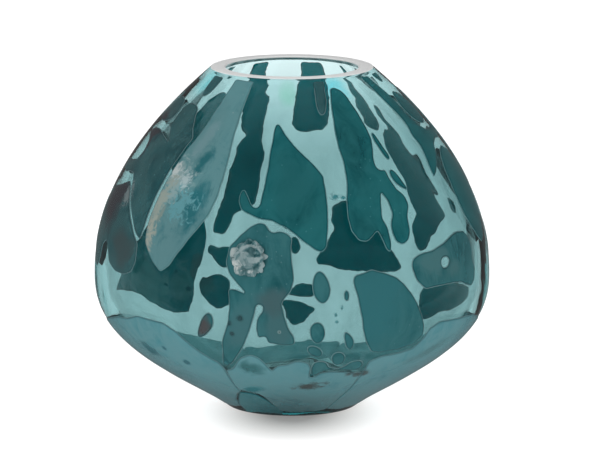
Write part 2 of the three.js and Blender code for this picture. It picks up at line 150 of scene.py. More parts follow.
def addNode(tree, kind, **values):
    return setValues(tree.nodes.new(kind), **values)


def ramp(tree, source, stops):
    node = tree.nodes.new("ShaderNodeValToRGB")
    elements = node.color_ramp.elements
    while len(elements) < len(stops):
        elements.new(0.5)
    for element, (place, colour) in zip(elements, stops):
        element.position = place
        element.color = (*colour, 1)
    tree.links.new(source, node.inputs[0])
    return node


def layColour(tree, mask, under, over):
    # lays a plain colour over the colours so far, where the mask is white
    mix = addNode(tree, "ShaderNodeMix", data_type="RGBA", blend_type="MIX")
    tree.links.new(mask, mix.inputs["Factor"])
    tree.links.new(under, mix.inputs["A"])
    mix.inputs["B"].default_value = (*over, 1)
    return mix.outputs["Result"]


def addBump(tree, shader, height, strength, distance):
    bump = addNode(tree, "ShaderNodeBump", Strength=strength, Distance=distance)
    tree.links.new(height, bump.inputs["Height"])
    tree.links.new(bump.outputs[0], shader.inputs["Normal"])


def greyRamp(tree, source, stops):
    return ramp(tree, source, [(place, (value,) * 3) for place, value in stops])


def addSockets(group, values, results):
    for name, value in values.items():
        kind = "NodeSocketVector" if isinstance(value, tuple) else "NodeSocketFloat"
        group.interface.new_socket(name=name, in_out="INPUT", socket_type=kind).default_value = value
    for name in results:
        group.interface.new_socket(name=name, in_out="OUTPUT", socket_type="NodeSocketFloat")


meltBuild = {
    "drawnOut": (1.0, 1.0, 0.35),
    "veinScale": 85.0,
    "bubbleScale": 330.0,
    "bubbleRadius": 0.16,
    "bubbleRarity": 0.82,
    "rippleScale": 42.0,
}


def addNoise(tree, place, scale, detail, roughness=0.6, distortion=0.0):
    node = addNode(tree, "ShaderNodeTexNoise", Scale=scale, Detail=detail, Roughness=roughness,
                   Distortion=distortion)
    tree.links.new(place, node.inputs["Vector"])
    return node


def addMath(tree, operation, first, second):
    # each of the two is a number or another node's output
    node = addNode(tree, "ShaderNodeMath", operation=operation)
    for socket, value in zip(node.inputs, (first, second)):
        if isinstance(value, float):
            socket.default_value = value
        else:
            tree.links.new(value, socket)
    return node.outputs[0]


def meltGroup():
    # the clouds, streaks and tiny bubbles of a colour chip that melted into the wall
    group = bpy.data.node_groups.new("glassMelt", "ShaderNodeTree")
    addSockets(group, {"Seed": 0.0, "Cloud Size": 30.0, "Streak": 0.5, "Bubbles": 0.5},
               ("Cloud", "Veins", "Specks", "Height"))
    source = group.nodes.new("NodeGroupInput")
    target = group.nodes.new("NodeGroupOutput")
    place = group.nodes.new("ShaderNodeTexCoord")
    shift = addNode(group, "ShaderNodeVectorMath", operation="ADD")
    away = group.nodes.new("ShaderNodeCombineXYZ")
    group.links.new(source.outputs["Seed"], away.inputs["X"])
    group.links.new(source.outputs["Seed"], away.inputs["Z"])
    group.links.new(place.outputs["Object"], shift.inputs[0])
    group.links.new(away.outputs[0], shift.inputs[1])
    cloud = addNoise(group, shift.outputs[0], 1.0, 4.0, 0.55, 0.9)
    group.links.new(source.outputs["Cloud Size"], cloud.inputs["Scale"])
    squeeze = addNode(group, "ShaderNodeVectorMath", operation="MULTIPLY")
    squeeze.inputs[1].default_value = meltBuild["drawnOut"]
    group.links.new(shift.outputs[0], squeeze.inputs[0])
    veins = addNoise(group, squeeze.outputs[0], meltBuild["veinScale"], 5.0, 0.6, 1.6)
    veinWeight = addMath(group, "MULTIPLY", veins.outputs[0], source.outputs["Streak"])
    cells = addNode(group, "ShaderNodeTexVoronoi", Scale=meltBuild["bubbleScale"])
    group.links.new(shift.outputs[0], cells.inputs["Vector"])
    chance = addNode(group, "ShaderNodeSeparateColor")
    group.links.new(cells.outputs["Color"], chance.inputs[0])
    near = addMath(group, "LESS_THAN", cells.outputs["Distance"], meltBuild["bubbleRadius"])
    rare = addMath(group, "GREATER_THAN", chance.outputs[0], meltBuild["bubbleRarity"])
    speck = addMath(group, "MULTIPLY", near, rare)
    speckWeight = addMath(group, "MULTIPLY", speck, source.outputs["Bubbles"])
    ripple = addNoise(group, shift.outputs[0], meltBuild["rippleScale"], 2.0, 0.45, 0.4)
    group.links.new(cloud.outputs[0], target.inputs["Cloud"])
    group.links.new(veinWeight, target.inputs["Veins"])
    group.links.new(speckWeight, target.inputs["Specks"])
    group.links.new(ripple.outputs[0], target.inputs["Height"])
    return group


spotEdge = {"outer": 0.95, "inner": 0.3}


def spotGroup():
    # a soft-edged, cloudy patch at one place on the wall
    group = bpy.data.node_groups.new("glassSpot", "ShaderNodeTree")
    addSockets(group, {"Centre": (0, 0, 0), "Turn": (0, 0, 0), "Size": (0.01, 0.01, 0.01), "Grain": 90.0,
                       "Break": 1.6}, ("Mask",))
    source = group.nodes.new("NodeGroupInput")
    target = group.nodes.new("NodeGroupOutput")
    place = group.nodes.new("ShaderNodeTexCoord")
    fit = addNode(group, "ShaderNodeMapping", vector_type="TEXTURE")
    group.links.new(place.outputs["Object"], fit.inputs["Vector"])
    group.links.new(source.outputs["Centre"], fit.inputs["Location"])
    group.links.new(source.outputs["Turn"], fit.inputs["Rotation"])
    group.links.new(source.outputs["Size"], fit.inputs["Scale"])
    away = addNode(group, "ShaderNodeVectorMath", operation="LENGTH")
    group.links.new(fit.outputs[0], away.inputs[0])
    cloud = addNoise(group, place.outputs["Object"], 1.0, 5.0, 0.62, 1.2)
    group.links.new(source.outputs["Grain"], cloud.inputs["Scale"])
    centred = addMath(group, "SUBTRACT", cloud.outputs[0], 0.5)
    ragged = addMath(group, "MULTIPLY", centred, source.outputs["Break"])
    spread = addMath(group, "ADD", ragged, away.outputs["Value"])
    edge = addNode(group, "ShaderNodeMapRange", interpolation_type="SMOOTHSTEP", From_Min=spotEdge["outer"],
                   From_Max=spotEdge["inner"])
    group.links.new(spread, edge.inputs["Value"])
    group.links.new(edge.outputs[0], target.inputs["Mask"])
    return group


glassMelt = meltGroup()
glassSpot = spotGroup()


def onWallAt(turn, level):
    # a place on the outer wall, from degrees of turn and per cent of the height
    flat = np.array([[math.radians(turn), np.interp(level / 100 * blownForm["height"], tableZ, tableUp)]])
    return tuple(ontoWall(flat, np.zeros(1))[0])


def spot(turn, level, size, colour, grain=90, broken=1.6, lean=0):
    # size: millimetres half across, half deep into the wall and half up; broken: how ragged its edge is
    return {"at": (turn, level), "size": size, "colour": colour, "grain": grain, "broken": broken,
            "lean": lean}


def addSpots(tree, colour, spots):
    # lays each spot's colour over the colour so far
    for patch in spots:
        turn, lean = math.radians(patch["at"][0]), math.radians(patch["lean"])
        mask = addNode(tree, "ShaderNodeGroup", node_tree=glassSpot, Centre=onWallAt(*patch["at"]),
                       Turn=(0, lean, turn), Size=[side / 1000 for side in patch["size"]],
                       Grain=patch["grain"], Break=patch["broken"])
        colour = layColour(tree, mask.outputs[0], colour, patch["colour"])
    return colour


def lineEdge(tree, colour, veins, look):
    # lines round a chip, each a colour that fades out away from the edge; on the chips on the front, the thin
    # light line at the edge is a painted highlight and the darker band inside it painted shade, of the
    # rounded edge
    fromEdge = addNode(tree, "ShaderNodeAttribute", attribute_name="fromEdge")
    tear = addNode(tree, "ShaderNodeMath", operation="MULTIPLY_ADD")
    tree.links.new(veins, tear.inputs[0])
    tear.inputs[1].default_value = -look["tear"]
    tree.links.new(fromEdge.outputs["Fac"], tear.inputs[2])
    for start, end, edgeColour, strength in look["edge"]:
        band = addNode(tree, "ShaderNodeMapRange", interpolation_type="SMOOTHSTEP", From_Min=start,
                       From_Max=end, To_Min=strength, To_Max=0.0)
        tree.links.new(tear.outputs[0], band.inputs["Value"])
        colour = layColour(tree, band.outputs[0], colour, edgeColour)
    return colour


def chipMaterial(name, changes):
    look = {**plainLook, **changes}
    material, tree, shader, output = newMaterial(name)
    melt = addNode(tree, "ShaderNodeGroup", node_tree=glassMelt, Seed=look["seed"],
                   Cloud_Size=look["cloudSize"], Streak=look["streak"], Bubbles=look["bubbles"])
    colours = ramp(tree, melt.outputs["Cloud"], look["colours"])
    veinMask = ramp(tree, melt.outputs["Veins"], [(0.18, (0, 0, 0)), (0.42, (1, 1, 1))])
    colour = layColour(tree, veinMask.outputs[0], colours.outputs[0], look["veinColour"])
    colour = layColour(tree, melt.outputs["Specks"], colour, look["speckColour"])
    colour = addSpots(tree, colour, look["spots"])
    if look["edge"]:
        colour = lineEdge(tree, colour, melt.outputs["Veins"], look)
    tree.links.new(colour, shader.inputs["Base Color"])
    rough = greyRamp(tree, melt.outputs["Cloud"], [(0.3, look["roughness"]), (0.7, look["roughness"] * 1.9)])
    tree.links.new(rough.outputs[0], shader.inputs["Roughness"])
    addBump(tree, shader, melt.outputs["Height"], look["ripple"], 0.0015)
    setValues(shader, Transmission_Weight=look["transmission"], IOR=glassBend,
              Specular_Tint=(*look["shine"], 1), Metallic=look["metallic"])
    return material


# what a look has when it says nothing else
plainLook = {"bubbles": 0.3, "ripple": 0.3, "roughness": 0.08, "streak": 0.75, "metallic": 0.0, "tear": 0.0,
             "edge": [], "spots": [], "shine": (0.2, 0.3, 0.32), "speckColour": (0.3, 0.48, 0.5)}
# edge: for each line round a chip, where it starts and stops fading in millimetres from the
# edge, its colour and its strength; on the front chips the light line is a painted highlight and
# the dark band painted shade of the rounded edge. tear: how far the streaks break those lines up
chipLooks = {
    "tealChip": {
        "seed": 0.0, "cloudSize": 26.0, "streak": 0.62, "bubbles": 0.5, "roughness": 0.07, "ripple": 0.25,
        "transmission": 0.48, "shine": (0.22, 0.32, 0.34),
        "colours": [(0.32, (0.004, 0.088, 0.104)), (0.5, (0.01, 0.138, 0.156)),
                    (0.66, (0.028, 0.195, 0.212))],
        "veinColour": (0.03, 0.2, 0.215), "speckColour": (0.1, 0.35, 0.37),
        # a dark band of painted shade, then a light line at the very edge as a painted highlight
        "edge": [(0.5, 1.7, (0.003, 0.085, 0.1), 0.75), (0.25, 0.65, (0.25, 0.5, 0.52), 0.8)],
    },
    "duskyChip": {
        "seed": 11.0, "cloudSize": 34.0, "streak": 0.62, "bubbles": 0.5, "roughness": 0.09,
        "transmission": 0.46, "shine": (0.22, 0.28, 0.32),
        "colours": [(0.34, (0.012, 0.075, 0.09)), (0.5, (0.026, 0.125, 0.142)),
                    (0.64, (0.066, 0.185, 0.198))],
        "veinColour": (0.065, 0.165, 0.175), "speckColour": (0.15, 0.3, 0.32),
        # a dark band of painted shade, then a light line at the very edge as a painted highlight
        "edge": [(0.5, 1.5, (0.012, 0.07, 0.085), 0.6), (0.25, 0.6, (0.28, 0.46, 0.48), 0.7)],
        "spots": [
            # the first three, greyer spots are painted reflection: the grey sheen where the left side turns
            # away at a grazing angle
            spot(-60, 52, (20, 20, 18), (0.07, 0.112, 0.118), grain=40),
            spot(-76, 63, (24, 20, 30), (0.058, 0.062, 0.074), grain=40),
            spot(-80, 82, (24, 20, 34), (0.06, 0.064, 0.076), grain=50),
            spot(-66, 66, (7, 12, 12), (0.24, 0.3, 0.31), grain=160, broken=2.6),
        ],
    },
    "figureChip": {
        "seed": 4.4, "cloudSize": 24.0, "streak": 0.6, "bubbles": 0.4,
        "transmission": 0.47, "shine": (0.24, 0.3, 0.32),
        "colours": [(0.32, (0.016, 0.118, 0.136)), (0.5, (0.034, 0.172, 0.192)), (0.66, (0.062, 0.23, 0.25))],
        "veinColour": (0.072, 0.24, 0.258), "speckColour": (0.2, 0.38, 0.4),
        # a dark band of painted shade, then a light line at the very edge as a painted highlight
        "edge": [(0.5, 1.7, (0.016, 0.095, 0.108), 0.7), (0.25, 0.65, (0.3, 0.5, 0.52), 0.8)],
        "spots": [
            spot(25, 39, (40, 30, 40), (0.05, 0.215, 0.24), grain=30),
            spot(46, 50, (20, 30, 12), (0.095, 0.24, 0.255), grain=60, lean=-10),
            spot(54, 47, (12, 30, 10), (0.085, 0.225, 0.238), grain=60),
            spot(-26, 33, (8, 12, 12), (0.11, 0.105, 0.108), grain=60),
            spot(-15, 33, (16, 12, 30), (0.08, 0.215, 0.235), grain=40, broken=1, lean=25),
            spot(-4, 34, (13, 12, 22), (0.078, 0.195, 0.212), grain=40, broken=1),
            spot(-5, 41, (16, 12, 12), (0.085, 0.17, 0.185), grain=40, broken=1.2),
            spot(-14.8, 36.2, (3.4, 12, 3.4), (0.042, 0.105, 0.116), broken=0.4),
            spot(-18.2, 34.6, (3, 12, 3), (0.045, 0.11, 0.122), broken=0.4),
            spot(-17.4, 31.4, (2.6, 12, 2.6), (0.048, 0.112, 0.124), broken=0.4),
            spot(-3.6, 32.4, (1.6, 12, 1.6), (0.3, 0.42, 0.42), broken=0.2),
            spot(-3.6, 32.4, (0.7, 12, 0.7), (0.03, 0.09, 0.1), broken=0.1),
        ],
    },
    "backChip": {
        "seed": 2.3, "cloudSize": 30.0,
        "transmission": 0.66, "shine": (0.22, 0.32, 0.34),
        "colours": [(0.32, (0.004, 0.13, 0.15)), (0.5, (0.01, 0.19, 0.212)), (0.66, (0.028, 0.25, 0.27))],
        "veinColour": (0.03, 0.205, 0.22), "speckColour": (0.1, 0.35, 0.37),
        "tear": 1.6,
        "edge": [(-0.6, 0.7, (0.1, 0.34, 0.36), 0.9)],
    },
    # the inner face of the back chips, the side that shows through the vase, is painted lighter and more
    # saturated than the outer face: painted light for the light that comes through them from behind
    "backInside": {
        "seed": 2.3, "cloudSize": 30.0,
        "transmission": 0.48, "shine": (0.14, 0.3, 0.32),
        "colours": [(0.32, (0.002, 0.24, 0.29)), (0.5, (0.004, 0.35, 0.4)), (0.66, (0.012, 0.43, 0.48))],
        "veinColour": (0.012, 0.42, 0.46), "speckColour": (0.1, 0.35, 0.37),
        "tear": 3.2,
        "edge": [(-1.2, 0.7, (0.24, 0.52, 0.54), 0.9)],
        "spots": [
            spot(219, 27, (26, 40, 18), (0.25, 0.52, 0.52), grain=40),
            spot(233, 28, (40, 40, 26), (0.48, 0.76, 0.75), grain=40),
            spot(211, 30, (8, 30, 14), (0.32, 0.33, 0.32), grain=60),
            spot(220, 31, (2.2, 30, 2.2), (0.02, 0.22, 0.26), broken=0.4),
            spot(223, 33.5, (1.8, 30, 2.6), (0.02, 0.22, 0.26), broken=0.4),
            spot(226, 28, (1.8, 30, 1.8), (0.02, 0.22, 0.26), broken=0.4),
            spot(217, 25.5, (3, 30, 2.2), (0.02, 0.22, 0.26), broken=0.4),
        ],
    },
    "cloudyChip": {
        "seed": 3.1, "cloudSize": 22.0, "streak": 0.85, "bubbles": 0.5, "roughness": 0.1, "ripple": 0.35,
        "transmission": 0.44, "shine": (0.3, 0.36, 0.38),
        "colours": [(0.32, (0.018, 0.15, 0.18)), (0.48, (0.058, 0.24, 0.275)), (0.66, (0.16, 0.37, 0.4))],
        "veinColour": (0.17, 0.37, 0.395), "speckColour": (0.42, 0.52, 0.55),
        # a dark band of painted shade, then a light line at the very edge as a painted highlight
        "edge": [(0.4, 1.3, (0.02, 0.15, 0.17), 0.55), (0.25, 0.6, (0.3, 0.52, 0.54), 0.7)],
        "spots": [
            spot(-38, 84, (6, 16, 30), (0.23, 0.42, 0.45), grain=70, lean=20),
            spot(-35, 77, (5, 16, 16), (0.04, 0.2, 0.23), grain=70, lean=24),
            spot(-33, 66, (9, 16, 30), (0.04, 0.215, 0.25), grain=60, lean=20),
            spot(-43, 72, (13, 16, 18), (0.36, 0.52, 0.53), grain=130, broken=3.2, lean=22),
            spot(-38, 66, (12, 16, 14), (0.18, 0.47, 0.52), grain=210, broken=4.2, lean=22),
            spot(-45.6, 75, (5, 16, 7), (0.72, 0.8, 0.8), grain=260, broken=3),
            spot(-39.5, 73, (6, 16, 6), (0.56, 0.7, 0.72), grain=300, broken=4),
            spot(-47, 66, (6.2, 16, 26), (0.43, 0.49, 0.44), grain=190, broken=3, lean=16),
            spot(-47.6, 56.5, (6, 16, 18), (0.5, 0.54, 0.47), grain=200, broken=3, lean=8),
            spot(-45, 63, (2.2, 16, 9), (0.3, 0.4, 0.37), broken=0.3, lean=20),
        ],
    },
    "smokyChip": {
        "seed": 7.7, "cloudSize": 16.0,
        "transmission": 0.49,
        "colours": [(0.3, (0.05, 0.235, 0.285)), (0.5, (0.1, 0.34, 0.39)), (0.68, (0.19, 0.45, 0.49))],
        "veinColour": (0.18, 0.41, 0.45),
        # a dark band of painted shade, then a light line at the very edge as a painted highlight
        "edge": [(0.4, 1.2, (0.03, 0.15, 0.18), 0.6), (0.2, 0.5, (0.4, 0.6, 0.62), 0.5)],
        "spots": [
            spot(7, 13.2, (15, 16, 4.5), (0.085, 0.11, 0.108), grain=110, lean=-6),
            spot(24, 17.5, (11, 16, 4), (0.11, 0.15, 0.15), grain=90, lean=6),
            spot(-17, 11.5, (10, 16, 4), (0.035, 0.25, 0.285), grain=50, broken=0.9, lean=-12),
            spot(-52, 22, (10, 16, 6), (0.045, 0.2, 0.235), grain=60, lean=30),
            spot(-38, 20, (4, 16, 3), (0.05, 0.2, 0.24), broken=0.8),
            spot(-44, 24, (3, 16, 2.5), (0.06, 0.21, 0.25), broken=0.8),
            spot(-14, 20, (12, 16, 7), (0.07, 0.215, 0.23), grain=60),
            spot(50, 22, (30, 16, 6), (0.14, 0.32, 0.35), grain=60, lean=-24),
        ],
    },
    "smokyInside": {
        "seed": 9.2, "cloudSize": 18.0, "bubbles": 0.0, "roughness": 0.1,
        "transmission": 0.6,
        "colours": [(0.3, (0.24, 0.62, 0.68)), (0.5, (0.36, 0.74, 0.78)), (0.68, (0.46, 0.82, 0.85))],
        "veinColour": (0.46, 0.8, 0.83),
    },
    "hazeChip": {
        "seed": 9.2, "cloudSize": 18.0, "roughness": 0.1,
        "transmission": 0.78,
        "colours": [(0.3, (0.17, 0.56, 0.61)), (0.5, (0.3, 0.7, 0.74)), (0.68, (0.42, 0.8, 0.83))],
        "veinColour": (0.42, 0.76, 0.79),
        "tear": 2.4,
        "edge": [(0.2, 4.0, (0.55, 0.82, 0.84), 0.9)],
    },
    "lensChip": {
        "seed": 6.1, "cloudSize": 20.0, "streak": 0.6, "bubbles": 0.2,
        "transmission": 0.45,
        "colours": [(0.32, (0.035, 0.24, 0.285)), (0.5, (0.06, 0.31, 0.35)), (0.66, (0.1, 0.37, 0.41))],
        "veinColour": (0.1, 0.36, 0.4),
        "edge": [(0.4, 1.4, (0.02, 0.12, 0.14), 0.8)],
    },
    "blisterGlass": {
        "seed": 5.3, "cloudSize": 170.0, "streak": 0.5, "bubbles": 0.0, "roughness": 0.14, "ripple": 0.9,
        "transmission": 0.0, "shine": (1.0, 1.0, 1.0), "metallic": 0.2,
        "colours": [(0.36, (0.01, 0.07, 0.08)), (0.46, (0.08, 0.19, 0.205)), (0.58, (0.34, 0.44, 0.45))],
        "veinColour": (0.14, 0.24, 0.25), "speckColour": (0.4, 0.5, 0.5),
        "spots": [
            # these light spots are painted highlights on the blister
            spot(-16.2, 51.2, (6, 12, 5), (0.56, 0.62, 0.61), grain=300, broken=2.4),
            spot(-17.4, 55, (3, 12, 5), (0.42, 0.5, 0.5), grain=300, broken=2),
            spot(-11.6, 49.8, (3, 12, 2.2), (0.52, 0.6, 0.6), grain=260, broken=2),
        ],
    },
}
chipMaterials = {name: chipMaterial(name, look) for name, look in chipLooks.items()}

clearLook = {
    "lowTints": [(0.38, (0.52, 0.61, 0.615)), (0.62, (0.6, 0.69, 0.695))],
    "neckTint": (0.93, 0.96, 0.965),
    "neckFrom": 0.17,
    "neckTo": 0.214,
    "roughness": 0.0,
    "shine": (0.26, 0.25, 0.28),
    "absorb": (0.6, 0.86, 0.87),
    "density": 100.0,
    "spots": [
        spot(-2, 96, (8, 20, 12), (0.66, 0.86, 0.76), grain=40),
        spot(28, 97, (12, 20, 12), (0.38, 0.86, 0.95), grain=40),
        spot(-70, 97, (12, 20, 14), (0.45, 0.86, 0.9), grain=40),
        spot(12.5, 37.2, (1.3, 10, 2), (0.03, 0.16, 0.18), grain=400, broken=1.4),
        spot(12.9, 35.1, (1.6, 10, 1.6), (0.03, 0.16, 0.18), grain=400, broken=1.4),
        spot(14.3, 39.2, (1.2, 10, 2.2), (0.03, 0.16, 0.18), grain=400, broken=1.4),
        spot(14.3, 69.7, (3.4, 10, 2), (0.02, 0.15, 0.17), grain=420, broken=2.6),
        spot(17.2, 69.4, (2.2, 10, 1.6), (0.02, 0.15, 0.17), grain=420, broken=2.6),
        # these two white spots are painted highlights on the clear wall
        spot(44.0, 49.6, (3, 10, 2.6), (1.0, 1.0, 1.0), grain=200, broken=1.2),
        spot(-54, 51.5, (9, 10, 6), (0.95, 1.0, 0.98), grain=200, broken=2.4),
    ],
    "hazeScale": 45.0,
    "drawnOut": (1, 1, 0.3),
    "waveScale": 16.0,
    "wave": 0.25,
}


def clearMaterial(look):
    material, tree, shader, output = newMaterial("clearGlass")
    setValues(shader, Transmission_Weight=1.0, IOR=glassBend, Specular_Tint=(*look["shine"], 1),
              Roughness=look["roughness"])
    place = tree.nodes.new("ShaderNodeTexCoord")
    split = tree.nodes.new("ShaderNodeSeparateXYZ")
    tree.links.new(place.outputs["Object"], split.inputs[0])
    climb = addNode(tree, "ShaderNodeMapRange", From_Min=look["neckFrom"], From_Max=look["neckTo"])
    tree.links.new(split.outputs["Z"], climb.inputs["Value"])
    drawn = addNode(tree, "ShaderNodeMapping", Scale=look["drawnOut"])
    tree.links.new(place.outputs["Object"], drawn.inputs["Vector"])
    haze = addNoise(tree, drawn.outputs[0], look["hazeScale"], 4.0, 0.55, 0.8)
    low = ramp(tree, haze.outputs[0], look["lowTints"])
    tint = layColour(tree, climb.outputs[0], low.outputs[0], look["neckTint"])
    tree.links.new(addSpots(tree, tint, look["spots"]), shader.inputs["Base Color"])
    wave = addNoise(tree, place.outputs["Object"], look["waveScale"], 2.0, 0.4, 0.5)
    addBump(tree, shader, wave.outputs[0], look["wave"], 0.004)
    inside = addNode(tree, "ShaderNodeVolumeAbsorption", Color=(*look["absorb"], 1), Density=look["density"])
    tree.links.new(inside.outputs[0], output.inputs["Volume"])
    return material


groundLook = {
    "grainScale": 900.0,
    "colours": [(0.3, (0.9, 0.91, 0.91)), (0.7, (0.98, 0.98, 0.975))],
    "roughness": [(0.3, 0.38), (0.7, 0.55)],
    "transmission": 0.1,
}
# the foot ring's colours are nearly black: painted shade where the foot meets the floor
footShadeLook = {
    "grainScale": 300.0,
    "colours": [(0.35, (0.004, 0.03, 0.036)), (0.65, (0.01, 0.055, 0.062))],
    "roughness": [(0.3, 0.12), (0.7, 0.4)],
    "transmission": 0.2,
}


def grainMaterial(name, look, detail):
    material, tree, shader, output = newMaterial(name)
    place = tree.nodes.new("ShaderNodeTexCoord")
    grain = addNoise(tree, place.outputs["Object"], look["grainScale"], detail)
    colours = ramp(tree, grain.outputs[0], look["colours"])
    tree.links.new(colours.outputs[0], shader.inputs["Base Color"])
    rough = greyRamp(tree, grain.outputs[0], look["roughness"])
    tree.links.new(rough.outputs[0], shader.inputs["Roughness"])
    setValues(shader, Transmission_Weight=look["transmission"], IOR=glassBend)
    return material, tree, shader, grain.outputs[0]


def groundMaterial():
    # the lip is ground flat and left satin
    material, tree, shader, grain = grainMaterial("groundLip", groundLook, 3.0)
    addBump(tree, shader, grain, 0.3, 0.0002)
    return material


def footShadeMaterial():
    # the ring that the vase stands on is the thickest glass, a deep teal, and is painted nearly black as
    # painted shade where it meets the floor
    return grainMaterial("footRingShade", footShadeLook, 4.0)[0]


clearGlass = clearMaterial(clearLook)
groundLip = groundMaterial()
footRingShade = footShadeMaterial()
print("materials made")

# the clear body

bodyBuild = {
    "turnSteps": 160,
    "outerRings": 72,
    "innerRings": 56,
    "footBevel": 0.0012,
    "footBevelMiddle": (0.35, 0.3),
    "lipBevelWidth": 0.002,
    "lipBevelDrop": 0.0013,
    "lipBevelMiddle": (0.45, 0.3),
    "innerBevelWidth": 0.0007,
    "innerBevelDrop": 0.0006,
    "straightTop": 0.001,
    "recessRadius": 0.03,
    "recessDepth": 0.003,
    "recessShares": (0.3, 0.55, 0.75, 0.9),
    "recessCurve": 0.8,
    "recessEdge": (0.0008, 0.0001),
    "floorShares": (0.95, 0.88, 0.78, 0.64, 0.5, 0.34, 0.17, 0),
    "cornerRise": 0.00525,
    "cornerFrom": 0.5,
    "cornerCurve": 2.2,
    "groundDepth": 0.0004,
    "footRingRise": 0.0013,
    "footRingGap": 0.004,
    "smoothAngle": math.radians(38),
}
# the inside of a free-blown wall is never quite even, apart from near the floor and the rim
unevenWall = {
    "depth": 0.00035,
    "swells": (22, 22, 14),
    "dents": (60, 60, 40),
    "dentShare": 0.5,
    "from": 0.03,
    "belowRim": 0.004,
    "fade": 0.02,
    "floorRadius": 0.02,
    "leastWall": 0.003,
}


def bodyProfile():
    # radius and height, from the middle of the recess under the foot, up the outside, over the
    # lip and down to the middle of the floor inside
    f, b = blownForm, bodyBuild
    height = f["height"]
    top = height - b["lipBevelDrop"]
    profile = [(0, b["recessDepth"])]
    for share in b["recessShares"]:
        depth = b["recessDepth"] * math.cos(share * math.pi / 2) ** b["recessCurve"]
        profile.append((b["recessRadius"] * share, depth))
    edgeWidth, edgeRise = b["recessEdge"]
    profile.append((b["recessRadius"], edgeRise))
    profile.append((b["recessRadius"] + edgeWidth, 0))
    footEdge = float(wallRadius(0))
    inShare, upShare = b["footBevelMiddle"]
    profile.append((footEdge - b["footBevel"], 0))
    profile.append((footEdge - inShare * b["footBevel"], upShare * b["footBevel"]))
    for i in range(b["outerRings"] + 1):
        z = b["footBevel"] + (top - b["footBevel"]) * (i / b["outerRings"])
        profile.append((float(wallRadius(z)), z))
    lipEdge = float(wallRadius(top))
    inShare, upShare = b["lipBevelMiddle"]
    profile.append((lipEdge - inShare * b["lipBevelWidth"], height - upShare * b["lipBevelDrop"]))
    profile.append((lipEdge - b["lipBevelWidth"], height))
    outerEnd = len(profile) - 1
    highest = height - b["straightTop"]

    def innerRadius(z):
        return float(wallRadius(z) - f["wall"] * np.hypot(1, wallSlope(z)))

    profile.append((innerRadius(highest) + b["innerBevelWidth"], height))
    profile.append((innerRadius(highest), height - b["innerBevelDrop"]))
    innerTop = height - b["innerBevelDrop"] - b["groundDepth"]
    corner = f["base"] + b["cornerRise"]
    for i in range(b["innerRings"] + 1):
        z = innerTop + (corner - innerTop) * (i / b["innerRings"])
        profile.append((innerRadius(min(z, highest)), z))
    edge = innerRadius(corner)
    for share in b["floorShares"]:
        climb = max(0, (share - b["cornerFrom"]) / (1 - b["cornerFrom"])) ** b["cornerCurve"]
        profile.append((edge * share, f["base"] + b["cornerRise"] * climb))
    return profile, outerEnd


def unevenInside(body):
    u = unevenWall
    highest = blownForm["height"] - u["belowRim"]
    for vertex in body.data.vertices:
        x, y, z = vertex.co
        radius = math.hypot(x, y)
        depth = float(wallRadius(z)) - radius
        if depth > u["leastWall"] and radius > u["floorRadius"] and u["from"] < z < highest:
            fade = min(1, (highest - z) / u["fade"], (z - u["from"]) / u["fade"])
            swell = noise.noise(Vector(u["swells"]) * vertex.co)
            dent = noise.noise(Vector(u["dents"]) * vertex.co)
            share = u["depth"] * (swell + u["dentShare"] * dent) * fade / radius
            vertex.co.x += x * share
            vertex.co.y += y * share


def makeBody():
    b = bodyBuild
    profile, outerEnd = bodyProfile()
    count = len(profile)
    body = pieceFromMesh("clear_body", [(r, 0, z) for r, z in profile], [],
                         [(i, i + 1) for i in range(count - 1)])
    onlySelect(body)
    bpy.ops.object.mode_set(mode="EDIT")
    bpy.ops.mesh.select_all(action="SELECT")
    bpy.ops.mesh.spin(steps=b["turnSteps"], angle=math.tau, center=(0, 0, 0), axis=(0, 0, 1))
    bpy.ops.mesh.select_all(action="SELECT")
    bpy.ops.mesh.remove_doubles(threshold=0.00002)
    bpy.ops.mesh.normals_make_consistent(inside=False)
    bpy.ops.object.mode_set(mode="OBJECT")
    unevenInside(body)
    body.data.materials.append(clearGlass)
    body.data.materials.append(groundLip)
    body.data.materials.append(footRingShade)
    height = blownForm["height"]
    lipInner = profile[outerEnd + 1][0]
    groundTo = height - b["innerBevelDrop"] - b["groundDepth"]
    margin = 0.0002
    for face in body.data.polygons:
        centre = face.center
        radius = math.hypot(centre.x, centre.y)
        face.use_smooth = True
        onTop = centre.z > height - margin and radius > lipInner - margin
        onInnerEdge = centre.z > groundTo and radius < lipInner + margin
        if onTop or onInnerEdge:
            face.material_index = 1
        # the foot ring takes the material painted nearly black as painted shade
        if centre.z < b["footRingRise"] and radius > b["recessRadius"] + b["footRingGap"]:
            face.material_index = 2
    onlySelect(body)
    bpy.ops.object.shade_smooth_by_angle(angle=b["smoothAngle"])
    return body


body = makeBody()
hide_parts("body")
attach(body, "root")
print("body blown,", len(body.data.polygons), "faces")

# colour chips

chipBuild = {
    "outlineStep": 0.0012,
    "softenRounds": 6,
    "rings": (0.00025, 0.0007, 0.0013, 0.0021),
    "ringShare": 0.9,
    "grid": 0.0023,
    "gridGap": 0.0009,
    "edgeWidth": 0.0017,
    "relief": 0.00045,
    "sunk": 0.00012,
    "edgeSunkShare": 0.4,
    "lumps": 0.00008,
    "lumpScale": 70,
    "wander": 0.0004,
    "wanderScale": 130,
    "torn": 0.0,
    "tornScale": 380,
    "grow": 0.0,
}
# where a chip's end starts to move, where the CAD chip is cut, and where the glass one ends
lipReach = (0.205, 0.2127, 0.2149)
footReach = (0.0125, 0.0079, 0.0016)
cutMargin = {"lip": 0.0015, "foot": 0.0035, "widths": 4}


facesOut = 0.8  # how squarely a face of the outer sheet looks away from the wall
fewestCorners = 6


